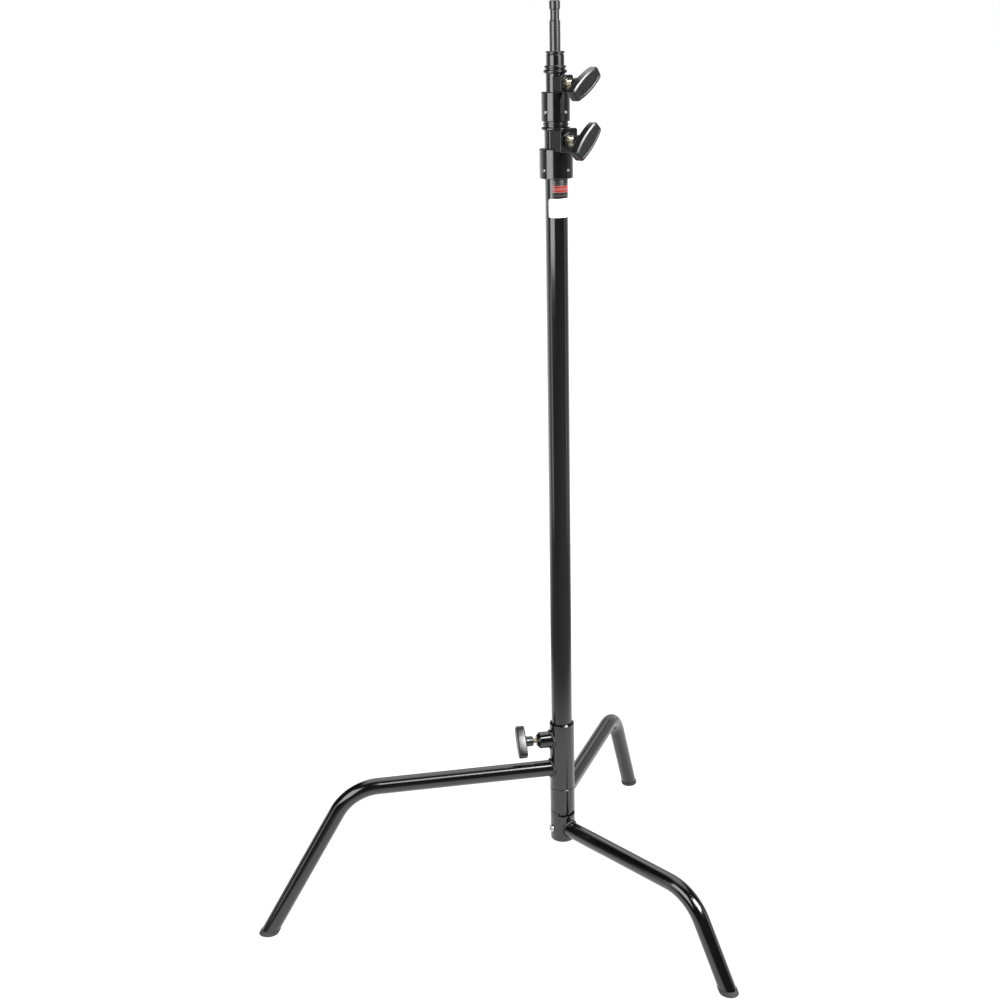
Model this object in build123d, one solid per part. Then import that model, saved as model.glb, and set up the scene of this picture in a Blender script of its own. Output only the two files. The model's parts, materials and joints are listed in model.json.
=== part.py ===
from build123d import *
import math
import os

# A folding, three-legged studio light stand ("c stand"), in millimetres.
# +Z is up, the floor is z = 0 and the column's axis is x = y = 0.
# Azimuths are degrees from +X, counter-clockwise seen from above.
# Every length along a tube, bore or screw is measured from that shared axis.

# ---------------------------------------------------------------- driving dimensions
RUNNING_GAP = 0.05          # radial clearance of everything that turns or slides
SEAT_GAP = 0.02             # clearance between pieces that are fixed together
FACE_GAP = 0.15             # axial clearance between pieces that turn on each other

COLUMN_R, COLUMN_BORE_R = 16.7, 15.0
RISER_1_R, RISER_1_BORE_R = 13.35, 11.85
RISER_2_R, RISER_2_BORE_R = 11.1, 9.5
LEG_R, LEG_BORE_R = 13.35, 11.7
LEG_BEND_R = 80.0
LEG_SLOPE = 59.2            # fall of a leg below the horizontal after its bend, degrees
LEG_SPREAD = 120.0

LOWER_LEG_AZ, MIDDLE_LEG_AZ, UPPER_LEG_AZ = -60.0, 60.0, 180.0
LOWER_LEG_Z, MIDDLE_LEG_Z, UPPER_LEG_Z = 137.4, 196.0, 246.0
LOWER_KNEE_X, MIDDLE_KNEE_X, UPPER_KNEE_X = 290.0, 321.0, 352.0

SLEEVE_R = 20.2
SLEEVE_BORE_R = COLUMN_R + RUNNING_GAP
HUB_BOTTOM_Z, LOWER_SEAM_Z, UPPER_SEAM_Z, HUB_RIM_Z = 115.6, 168.6, 211.7, 328.4
SEAM_EDGE = 0.6             # chamfers that make a small groove at each seam
POST_BORE_R = 13.2
POST_TOP_Z = 232.0
COLUMN_TOP_Z = 1248.0

# stop lugs that hold the legs 120 degrees apart, and stacked when folded
LUG_ANGLE = 24.0
LUG_PLAY = 0.2
LUG_DEPTH = 6.0
SLOT_START = -64.0          # from the azimuth of the leg whose sleeve has the slot

# retaining screws of the two turning sleeves, and the button-head screw of the fixed one
MIDDLE_SCREW_AZ, MIDDLE_SCREW_Z, MIDDLE_SCREW_R = 205.0, 189.2, 3.0
UPPER_SCREW_AZ, UPPER_SCREW_Z, UPPER_SCREW_R = 213.0, 214.9, 2.3
SCREW_GROOVE_R = 15.6
SCREW_SOCKET_DEPTH = 1.6
FIXING_SCREW_AZ, FIXING_SCREW_R = 198.0, 4.0
FIXING_HEAD_R, FIXING_HEAD_H = 5.9, 3.6

FOOT_CAP_H = 8.0
FOOT_CAP_WALL = 0.8         # how far a foot cap stands out round its leg
FOOT_CAP_EDGE = 1.5         # rounding of a foot cap's lower edge
FOOT_SPIGOT = 14.0

# the column's casting and the first riser's casting
HEAD_AZ = -58.0
COLUMN_COLLAR_R, COLUMN_COLLAR_Z = 24.8, (1206.5, 1249.4)
COLUMN_NECK_R, COLUMN_NECK_TOP_Z = 17.0, 1276.0
COLUMN_BOSS_SIDE, COLUMN_BOSS_FACE, COLUMN_BOSS_Z = 34.2, 28.0, 1261.6
BOSS_BACK = 5.0             # where the square bosses begin inside their necks
COLUMN_RING_R, COLUMN_RING_H = 21.4, 4.2
RISER_1_RING_R, RISER_1_RING_Z = 18.0, (1280.4, 1288.05)
RISER_1_BEAD_R, RISER_1_BEAD_Z = 18.9, (1282.4, 1285.8)
RISER_1_COLLAR_R, RISER_1_COLLAR_Z = 21.0, (1288.2, 1330.0)
RISER_1_NECK_R, RISER_1_NECK_TOP_Z = 14.1, 1356.0
RISER_1_BOSS_SIDE, RISER_1_BOSS_FACE, RISER_1_BOSS_Z = 24.6, 25.0, 1341.6
RISER_1_TUBE_TOP_Z = 1327.0
TOP_RING_R, TOP_RING_H = 17.5, 4.8
RIVET_HEAD_R, RIVET_HEAD_H, RIVET_SHANK_R = 2.4, 1.1, 1.6
COLUMN_RIVET_Z, RISER_1_RIVET_Z = 1219.0, 1301.5

# the second riser's head and its stud
TOP_SKIRT_R, TOP_SKIRT_Z = 14.4, 1361.0
TOP_FLANGE_R, TOP_FLANGE_Z = 16.0, (1363.0, 1366.8)
TOP_BODY_R, TOP_BODY_TOP_Z = 13.25, 1381.4
TOP_LIP_R, TOP_LIP_Z = 14.0, (1383.4, 1386.8)
RISER_2_TUBE_TOP_Z = 1385.0
PIN_R, PIN_GROOVE_R, PIN_SHOULDER_R = 7.94, 6.6, 9.2
PIN_GROOVE_Z, PIN_TOP_Z = (1429.6, 1443.7), 1456.8
PIN_SPIGOT_BOTTOM_Z = 1340.0

# how far each riser slides before its guide ring meets the casting above it
RISER_TRAVEL = 920.0
STOP_GAP = 0.5
GUIDE_LENGTH = 22.0
GUIDE_WALL = 2.4

# locks: M12 screws in the two castings, an M8 screw in the hub
HEAD_SCREW_R, HEAD_PAD_R = 6.0, 5.8
BASE_SCREW_R, BASE_PAD_R = 4.0, 3.8
INSERT_BARREL_R, INSERT_FLATS, INSERT_FLANGE_H = 8.0, 21.6, 2.5
INSERT_RIM_R, INSERT_RIM_H = 8.4, 1.5
HUB_BOSS_R, HUB_BOSS_FACE, HUB_BOSS_Z = 13.5, 43.0, 298.0
HUB_BOSS_BEVEL = 5.0
HUB_PAD_BACK = 21.0

# T-knobs: distances from the face that their screw leaves
HEAD_KNOB = dict(neck=13.5, bar=26.6, thick=14.0, length=60.0, width=25.2, end=17.6,
                 neck_r=8.8, root_r=10.0, screw_r=HEAD_SCREW_R)
BASE_KNOB = dict(neck=5.6, bar=17.8, thick=14.6, length=53.0, width=20.0, end=14.0,
                 neck_r=8.2, root_r=9.0, screw_r=BASE_SCREW_R)
COLUMN_KNOB_TURN, RISER_1_KNOB_TURN, BASE_KNOB_TURN = -43.0, -55.0, 40.0
KNOB_NECK_BEVEL = 2.6
KNOB_CORNER_R, KNOB_FACE_R, KNOB_BACK_R = 4.0, 2.0, 1.5
KNOB_SCREW_DEPTH = 8.0      # how far short of the bar's outer face a screw ends

# labels on the column
LABEL_THICK = 0.15
BAND_Z, BAND_AZ = (1178.5, 1205.5), (-123.0, 27.0)
BLANK_Z, BLANK_AZ = (1149.8, 1177.4), (-146.0, 34.0)

PAST = 1.0                  # how far a cutting shape runs past the surface that it cuts
EDGE = 1.0                  # the usual broken edge of turned and cast pieces


# ---------------------------------------------------------------- helpers
def cylinder(radius, low, high):
    """A solid cylinder on the column's axis."""
    return Pos(0, 0, (low + high) / 2) * Cylinder(radius, high - low)


def tube(outer, inner, low, high):
    return cylinder(outer, low, high) - cylinder(inner, low - PAST, high + PAST)


def turned(points):
    """Revolve an outline of (radius, z) points about the column's axis."""
    outline = Polyline(*[(radius, 0, z) for radius, z in points], close=True)
    return revolve(make_face(outline), Axis.Z)


def sector(inner, outer, low, high, start, sweep_angle):
    """Part of a ring about the column's axis, from azimuth start."""
    outline = Polyline((inner, 0, low), (outer, 0, low), (outer, 0, high), (inner, 0, high),
                       close=True)
    return Rot(0, 0, start) * revolve(make_face(outline), Axis.Z, sweep_angle)


def along(azimuth, z):
    """A place whose local +X points outward at this azimuth and height."""
    return Pos(0, 0, z) * Rot(0, 0, azimuth)


def rod(radius, near, far):
    """A cylinder along local +X."""
    return Pos((near + far) / 2, 0, 0) * Rot(0, 90, 0) * Cylinder(radius, far - near)


def hexagon(across_flats, near, far):
    """A hexagonal bar along local +X, with a corner at the top."""
    face = Plane.YZ * RegularPolygon(across_flats / 2, 6, major_radius=False, rotation=30)
    return Pos(near, 0, 0) * extrude(face, far - near, dir=(1, 0, 0))


def save(name, shape):
    export_step(shape, f"parts/{name}.step")


# ---------------------------------------------------------------- legs and hub
def leg_solid(radius, knee, z):
    """A bent rod at azimuth 0: level, then falling to below the floor."""
    below_floor = 40
    slope = math.radians(LEG_SLOPE)
    tangent = LEG_BEND_R * math.tan(slope / 2)
    half = slope / 2
    centre_x = knee - tangent
    centre_z = z - LEG_BEND_R
    start = (SLEEVE_R / 2, 0, z)
    bend_in = (centre_x, 0, z)
    bend_mid = (centre_x + LEG_BEND_R * math.sin(half), 0, centre_z + LEG_BEND_R * math.cos(half))
    bend_out = (knee + tangent * math.cos(slope), 0, z - tangent * math.sin(slope))
    reach = (z + below_floor) / math.sin(slope)
    end = (knee + reach * math.cos(slope), 0, z - reach * math.sin(slope))
    path = Line(start, bend_in) + ThreePointArc(bend_in, bend_mid, bend_out) + Line(bend_out, end)
    section = Plane(origin=start, z_dir=(1, 0, 0)) * Circle(radius)
    return sweep(section, path=path)


def above(shape, z):
    """The part of a shape that is above a height."""
    size = 2000
    return shape & Pos(0, 0, z + size / 2) * Box(size, size, size)


def below(shape, z):
    """The part of a shape that is below a height."""
    size = 2000
    return shape & Pos(0, 0, z - size / 2) * Box(size, size, size)


def leg_tube(azimuth, knee, z):
    """A leg from its saddle on the sleeve to the top of its foot cap."""
    walls = leg_solid(LEG_R, knee, z) - leg_solid(LEG_BORE_R, knee, z)
    clear_of_sleeve = cylinder(SLEEVE_R + SEAT_GAP, z - 2 * LEG_R, z + 2 * LEG_R)
    return Rot(0, 0, azimuth) * (above(walls, FOOT_CAP_H) - clear_of_sleeve)


def foot_cap(azimuth, knee, z):
    """A level-bottomed tip, a little wider than its leg, with a spigot up the leg's bore."""
    tip = below(above(leg_solid(LEG_R + FOOT_CAP_WALL, knee, z), 0), FOOT_CAP_H - SEAT_GAP)
    tip = fillet(tip.edges().group_by(Axis.Z)[0], FOOT_CAP_EDGE)
    plug = leg_solid(LEG_BORE_R - SEAT_GAP, knee, z)
    spigot = below(above(plug, FOOT_CAP_H / 2), FOOT_SPIGOT)
    return Rot(0, 0, azimuth) * (tip + spigot)


def sleeve_blank(low, high):
    """A plain length of sleeve with lightly broken edges."""
    edge = SEAM_EDGE
    return turned([(SLEEVE_BORE_R, low), (SLEEVE_R - edge, low), (SLEEVE_R, low + edge),
                   (SLEEVE_R, high - edge), (SLEEVE_R - edge, high), (SLEEVE_BORE_R, high)])


def stop_slot(leg_azimuth, seam):
    """The open slot in a sleeve's top rim that the sleeve above turns in."""
    return sector(SLEEVE_BORE_R - PAST, SLEEVE_R + PAST, seam - LUG_DEPTH, seam + PAST,
                  leg_azimuth + SLOT_START, LEG_SPREAD + LUG_ANGLE)


def stop_lug(leg_azimuth, seam):
    """The lug under a sleeve, at the end of the slot of the leg below."""
    start = leg_azimuth + SLOT_START + LEG_SPREAD + LUG_PLAY
    into_sleeve = seam + FACE_GAP + PAST
    return sector(SLEEVE_BORE_R, SLEEVE_R, seam - LUG_DEPTH + FACE_GAP, into_sleeve,
                  start, LUG_ANGLE - 2 * LUG_PLAY)


def screw_hole(azimuth, z, radius):
    """A hole for a screw through one side of a sleeve and of the post in it."""
    return along(azimuth, z) * rod(radius + SEAT_GAP, POST_BORE_R - PAST, SLEEVE_R + PAST)


def lower_leg_sleeve():
    """The fixed sleeve at the bottom, with a rounded-off lower rim."""
    rim = 2.5
    bore = COLUMN_R + SEAT_GAP
    body = turned([(bore, HUB_BOTTOM_Z), (SLEEVE_R - rim, HUB_BOTTOM_Z),
                   (SLEEVE_R - rim / 3, HUB_BOTTOM_Z + rim / 3), (SLEEVE_R, HUB_BOTTOM_Z + rim),
                   (SLEEVE_R, LOWER_SEAM_Z - SEAM_EDGE), (SLEEVE_R - SEAM_EDGE, LOWER_SEAM_Z),
                   (bore, LOWER_SEAM_Z)])
    body -= stop_slot(LOWER_LEG_AZ, LOWER_SEAM_Z)
    return body - screw_hole(FIXING_SCREW_AZ, LOWER_LEG_Z, FIXING_SCREW_R)


def middle_leg_sleeve():
    body = sleeve_blank(LOWER_SEAM_Z + FACE_GAP, UPPER_SEAM_Z)
    body += stop_lug(LOWER_LEG_AZ, LOWER_SEAM_Z)
    body -= stop_slot(MIDDLE_LEG_AZ, UPPER_SEAM_Z)
    return body - screw_hole(MIDDLE_SCREW_AZ, MIDDLE_SCREW_Z, MIDDLE_SCREW_R)


def upper_leg_sleeve():
    """The long sleeve: it turns on the post and its top is the column's socket."""
    rim, inner_rim = 2.2, 0.6
    low = UPPER_SEAM_Z + FACE_GAP
    body = turned([(SLEEVE_BORE_R, low), (SLEEVE_R - SEAM_EDGE, low),
                   (SLEEVE_R, low + SEAM_EDGE), (SLEEVE_R, HUB_RIM_Z - rim),
                   (SLEEVE_R - rim, HUB_RIM_Z), (SLEEVE_BORE_R + inner_rim, HUB_RIM_Z),
                   (SLEEVE_BORE_R, HUB_RIM_Z - inner_rim)])
    body += stop_lug(MIDDLE_LEG_AZ, UPPER_SEAM_Z)
    body -= screw_hole(UPPER_SCREW_AZ, UPPER_SCREW_Z, UPPER_SCREW_R)
    lock_hole = rod(BASE_SCREW_R + RUNNING_GAP, COLUMN_R - PAST, SLEEVE_R + PAST)
    return body - along(UPPER_LEG_AZ, HUB_BOSS_Z) * lock_hole


def centre_post():
    """The tube inside the sleeves, grooved for the retaining screws."""
    body = tube(COLUMN_R, POST_BORE_R, HUB_BOTTOM_Z + 2, POST_TOP_Z)
    for z, radius in ((MIDDLE_SCREW_Z, MIDDLE_SCREW_R), (UPPER_SCREW_Z, UPPER_SCREW_R)):
        half = radius + RUNNING_GAP
        body -= tube(COLUMN_R + PAST, SCREW_GROOVE_R, z - half, z + half)
    return body - screw_hole(FIXING_SCREW_AZ, LOWER_LEG_Z, FIXING_SCREW_R)


def retaining_screw(azimuth, z, radius):
    """A grub screw whose tip rides in the post's groove."""
    far = SLEEVE_R + 0.3
    socket = hexagon(radius, far - SCREW_SOCKET_DEPTH, far + PAST)
    return along(azimuth, z) * (rod(radius, SCREW_GROOVE_R + RUNNING_GAP, far) - socket)


def lower_fixing_screw():
    """A button-head screw that holds the lowest sleeve to the post."""
    seat = SLEEVE_R + SEAT_GAP
    crown = seat + FIXING_HEAD_H
    head = rod(FIXING_HEAD_R, seat, crown)
    head = fillet(head.faces().sort_by(Axis.X)[-1].edges(), FIXING_HEAD_H * 0.7)
    socket = hexagon(FIXING_SCREW_R, crown - SCREW_SOCKET_DEPTH, crown + PAST)
    shank = rod(FIXING_SCREW_R, POST_BORE_R + FACE_GAP, seat + PAST)
    return along(FIXING_SCREW_AZ, LOWER_LEG_Z) * (head + shank - socket)


def base_lock_boss():
    """The threaded boss welded to the upper sleeve, with a bevelled outer end."""
    body = rod(HUB_BOSS_R, SLEEVE_R / 2, HUB_BOSS_FACE)
    body = chamfer(body.faces().sort_by(Axis.X)[-1].edges(), HUB_BOSS_BEVEL)
    body -= cylinder(SLEEVE_R + SEAT_GAP, -2 * HUB_BOSS_R, 2 * HUB_BOSS_R)
    body -= rod(BASE_SCREW_R + RUNNING_GAP, 0, HUB_BOSS_FACE + PAST)
    return along(UPPER_LEG_AZ, HUB_BOSS_Z) * body


# ---------------------------------------------------------------- locks
def clamp_pad(azimuth, z, radius, tube_radius, back):
    """The loose pad at a lock screw's tip, hollowed to sit on the tube."""
    face = tube_radius + RUNNING_GAP
    pad = rod(radius, face / 2, back) - cylinder(face, -2 * radius, 2 * radius)
    return along(azimuth, z) * pad


def knob(azimuth, z, face, turn, size):
    """A T-knob: a bar with bowed long sides on a tapered neck, bored for its screw."""
    half_length, half_width, half_end = size["length"] / 2, size["width"] / 2, size["end"] / 2
    bar_near = face + size["bar"]
    bar_far = bar_near + size["thick"]
    top_left, top_right = (-half_end, half_length), (half_end, half_length)
    low_left, low_right = (-half_end, -half_length), (half_end, -half_length)
    outline = (Line(top_left, top_right) + ThreePointArc(top_right, (half_width, 0), low_right)
               + Line(low_right, low_left) + ThreePointArc(low_left, (-half_width, 0), top_left))
    bar = extrude(Plane.YZ * make_face(outline), size["thick"], dir=(1, 0, 0))
    bar = fillet(bar.edges().filter_by(Axis.X), KNOB_CORNER_R)
    bar = fillet(bar.faces().sort_by(Axis.X)[-1].edges(), KNOB_FACE_R)
    bar = fillet(bar.faces().sort_by(Axis.X)[0].edges(), KNOB_BACK_R)
    bar = Rot(turn, 0, 0) * Pos(bar_near, 0, 0) * bar
    neck_near = face + size["neck"]
    neck_length = bar_near - neck_near + PAST
    neck = Cone(size["neck_r"], size["root_r"], neck_length)
    neck = Pos(neck_near + neck_length / 2, 0, 0) * Rot(0, 90, 0) * neck
    neck = chamfer(neck.faces().sort_by(Axis.X)[0].edges(), KNOB_NECK_BEVEL)
    bore_end = bar_far - KNOB_SCREW_DEPTH + SEAT_GAP
    bore = rod(size["screw_r"] + SEAT_GAP, neck_near - PAST, bore_end)
    return along(azimuth, z) * (bar + neck - bore)


def knob_screw(azimuth, z, face, back, size):
    """A lock screw, from just behind its pad into its knob."""
    near = back + RUNNING_GAP
    far = face + size["bar"] + size["thick"] - KNOB_SCREW_DEPTH
    shank = rod(size["screw_r"], near, far)
    shank = chamfer(shank.faces().sort_by(Axis.X)[0].edges(), EDGE)
    return along(azimuth, z) * shank


def lock_insert(z, face, back):
    """A threaded insert in a casting's boss, with a hex flange and a raised rim."""
    flange_face = face + INSERT_FLANGE_H
    rim_face = flange_face + INSERT_RIM_H
    round_corners = rod(INSERT_FLATS / 2 * 1.1, face + SEAT_GAP, flange_face)
    body = hexagon(INSERT_FLATS, face + SEAT_GAP, flange_face) & round_corners
    body += rod(INSERT_BARREL_R, back, face + PAST)
    body += rod(INSERT_RIM_R, flange_face - PAST, rim_face)
    body -= rod(HEAD_SCREW_R + RUNNING_GAP, back - PAST, rim_face + PAST)
    return along(HEAD_AZ, z) * body


# ---------------------------------------------------------------- castings
def head_casting(collar_r, collar_z, tube_r, shoulder_z, neck_r, neck_top, riser_r,
                 boss_side, boss_face, boss_z, rivet_z):
    """A collar that holds one tube and a neck with a square boss that guides the next."""
    low, collar_top = collar_z
    boss_top = boss_z + boss_side
    boss = Pos((BOSS_BACK + boss_face) / 2, 0, 0) * Box(boss_face - BOSS_BACK, boss_side, boss_side)
    boss = chamfer(boss.edges().filter_by(Axis.X), 2 * EDGE)
    boss = chamfer(boss.faces().sort_by(Axis.X)[-1].edges(), EDGE)
    boss = along(HEAD_AZ, boss_z) * boss
    body = turned([(0, low), (collar_r - EDGE, low), (collar_r, low + EDGE),
                   (collar_r, collar_top - EDGE), (collar_r - EDGE, collar_top),
                   (neck_r, collar_top), (neck_r, neck_top), (0, neck_top)])
    body += boss
    body -= cylinder(tube_r + SEAT_GAP, low - PAST, shoulder_z)
    body -= cylinder(riser_r + RUNNING_GAP, shoulder_z - PAST, boss_top)
    lock = along(HEAD_AZ, boss_z)
    body -= lock * rod(HEAD_PAD_R + RUNNING_GAP, 0, boss_face + PAST)
    body -= lock * rod(INSERT_BARREL_R + SEAT_GAP, neck_r, boss_face + PAST)
    return with_rivet_holes(body, rivet_z)


def column_casting():
    body = head_casting(COLUMN_COLLAR_R, COLUMN_COLLAR_Z, COLUMN_R, COLUMN_TOP_Z,
                        COLUMN_NECK_R, COLUMN_NECK_TOP_Z, RISER_1_R,
                        COLUMN_BOSS_SIDE, COLUMN_BOSS_FACE, COLUMN_BOSS_Z, COLUMN_RIVET_Z)
    above_boss = COLUMN_BOSS_Z + COLUMN_BOSS_SIDE
    ring_seat = cylinder(COLUMN_RING_R + SEAT_GAP, COLUMN_NECK_TOP_Z, above_boss)
    return body - ring_seat


def riser_1_casting():
    return head_casting(RISER_1_COLLAR_R, RISER_1_COLLAR_Z, RISER_1_R, RISER_1_TUBE_TOP_Z,
                        RISER_1_NECK_R, RISER_1_NECK_TOP_Z, RISER_2_R,
                        RISER_1_BOSS_SIDE, RISER_1_BOSS_FACE, RISER_1_BOSS_Z, RISER_1_RIVET_Z)


def rivets(collar_r, tube_bore_r, z):
    """Four domed rivets through a collar and the tube in it."""
    group = []
    for quarter in range(4):
        head = rod(RIVET_HEAD_R, collar_r + SEAT_GAP, collar_r + RIVET_HEAD_H)
        head = fillet(head.faces().sort_by(Axis.X)[-1].edges(), RIVET_HEAD_H * 0.8)
        shank = rod(RIVET_SHANK_R, tube_bore_r + 2 * FACE_GAP, collar_r + RIVET_HEAD_H / 2)
        group.append(along(HEAD_AZ + 90 * quarter, z) * (head + shank))
    return Compound(children=group)


def with_rivet_holes(shape, z):
    """The four rivet holes, from inside the riser's bore to outside the widest collar."""
    for quarter in range(4):
        hole = rod(RIVET_SHANK_R + SEAT_GAP, RISER_2_BORE_R, COLUMN_COLLAR_R + PAST)
        shape -= along(HEAD_AZ + 90 * quarter, z) * hole
    return shape


def ring(outer, inner, low, high):
    """A washer-like ring with rounded outer edges."""
    edge = (high - low) * 0.3
    return turned([(inner, low), (outer - edge, low), (outer, low + edge), (outer, high - edge),
                   (outer - edge, high), (inner, high)])


def riser_1_stop_ring():
    """The beaded ring under the riser's casting that rests on the column's ring."""
    low, high = RISER_1_RING_Z
    bead_low, bead_high = RISER_1_BEAD_Z
    inner = RISER_1_R + SEAT_GAP
    bead_edge = EDGE / 2
    return turned([(inner, low), (RISER_1_RING_R, low), (RISER_1_RING_R, bead_low),
                   (RISER_1_BEAD_R, bead_low + bead_edge),
                   (RISER_1_BEAD_R, bead_high - bead_edge), (RISER_1_RING_R, bead_high),
                   (RISER_1_RING_R, high), (inner, high)])


# ---------------------------------------------------------------- tubes, guides and stud
def column_tube():
    body = tube(COLUMN_R, COLUMN_BORE_R, POST_TOP_Z + FACE_GAP, COLUMN_TOP_Z - SEAT_GAP)
    return with_rivet_holes(body, COLUMN_RIVET_Z)


def guide_top(shoulder_z):
    return shoulder_z - STOP_GAP - RISER_TRAVEL


def guide_ring(outer_bore, inner_bore, shoulder_z):
    """The sliding bush under a riser: a collar in the outer tube, a spigot up the riser."""
    top = guide_top(shoulder_z)
    collar_r = outer_bore - RUNNING_GAP
    spigot_r = inner_bore - RUNNING_GAP
    hole = spigot_r - GUIDE_WALL
    return turned([(hole, top - GUIDE_LENGTH), (collar_r, top - GUIDE_LENGTH), (collar_r, top),
                   (spigot_r, top), (spigot_r, top + GUIDE_LENGTH), (hole, top + GUIDE_LENGTH)])


def riser_1_tube():
    low = guide_top(COLUMN_TOP_Z) + FACE_GAP
    body = tube(RISER_1_R, RISER_1_BORE_R, low, RISER_1_TUBE_TOP_Z - SEAT_GAP)
    return with_rivet_holes(body, RISER_1_RIVET_Z)


def riser_2_tube():
    low = guide_top(RISER_1_TUBE_TOP_Z) + FACE_GAP
    return tube(RISER_2_R, RISER_2_BORE_R, low, RISER_2_TUBE_TOP_Z)


def riser_2_top_collar():
    """The turned cap on the second riser, that the stud stands out of."""
    flange_low, flange_high = TOP_FLANGE_Z
    lip_low, lip_high = TOP_LIP_Z
    waist = TOP_BODY_R - EDGE
    tube_hole = RISER_2_R + SEAT_GAP
    stud_hole = PIN_SHOULDER_R + SEAT_GAP
    return turned([(tube_hole, TOP_SKIRT_Z), (TOP_SKIRT_R, TOP_SKIRT_Z),
                   (TOP_SKIRT_R, flange_low), (TOP_FLANGE_R - EDGE, flange_low),
                   (TOP_FLANGE_R, flange_low + EDGE), (TOP_FLANGE_R, flange_high - EDGE),
                   (TOP_FLANGE_R - EDGE, flange_high), (TOP_BODY_R, flange_high),
                   (TOP_BODY_R, TOP_BODY_TOP_Z), (waist, TOP_BODY_TOP_Z + EDGE),
                   (waist, lip_low), (TOP_LIP_R - EDGE, lip_low), (TOP_LIP_R, lip_low + EDGE),
                   (TOP_LIP_R, lip_high - EDGE), (TOP_LIP_R - EDGE, lip_high),
                   (stud_hole, lip_high), (stud_hole, RISER_2_TUBE_TOP_Z + SEAT_GAP),
                   (tube_hole, RISER_2_TUBE_TOP_Z + SEAT_GAP)])


def baby_pin():
    """The stud: a grooved spigot for lamp heads, seated in the second riser's bore."""
    groove_low, groove_high = PIN_GROOVE_Z
    step = PIN_R - PIN_GROOVE_R
    seat_r = RISER_2_BORE_R - SEAT_GAP
    return turned([(0, PIN_SPIGOT_BOTTOM_Z), (seat_r, PIN_SPIGOT_BOTTOM_Z),
                   (seat_r, RISER_2_TUBE_TOP_Z), (PIN_SHOULDER_R, RISER_2_TUBE_TOP_Z),
                   (PIN_SHOULDER_R, TOP_LIP_Z[1]), (PIN_R, TOP_LIP_Z[1]),
                   (PIN_R, groove_low - step), (PIN_GROOVE_R, groove_low),
                   (PIN_GROOVE_R, groove_high), (PIN_R, groove_high + step),
                   (PIN_R, PIN_TOP_Z - step), (PIN_R - step, PIN_TOP_Z), (0, PIN_TOP_Z)])


def label(z_range, azimuths):
    """A thin printed sticker wrapped part of the way round the column."""
    low, high = z_range
    start, end = azimuths
    inner = COLUMN_R + SEAT_GAP
    return sector(inner, inner + LABEL_THICK, low, high, start, end - start)


# ---------------------------------------------------------------- everything
LEGS = (("lower", LOWER_LEG_AZ, LOWER_KNEE_X, LOWER_LEG_Z),
        ("middle", MIDDLE_LEG_AZ, MIDDLE_KNEE_X, MIDDLE_LEG_Z),
        ("upper", UPPER_LEG_AZ, UPPER_KNEE_X, UPPER_LEG_Z))


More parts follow.
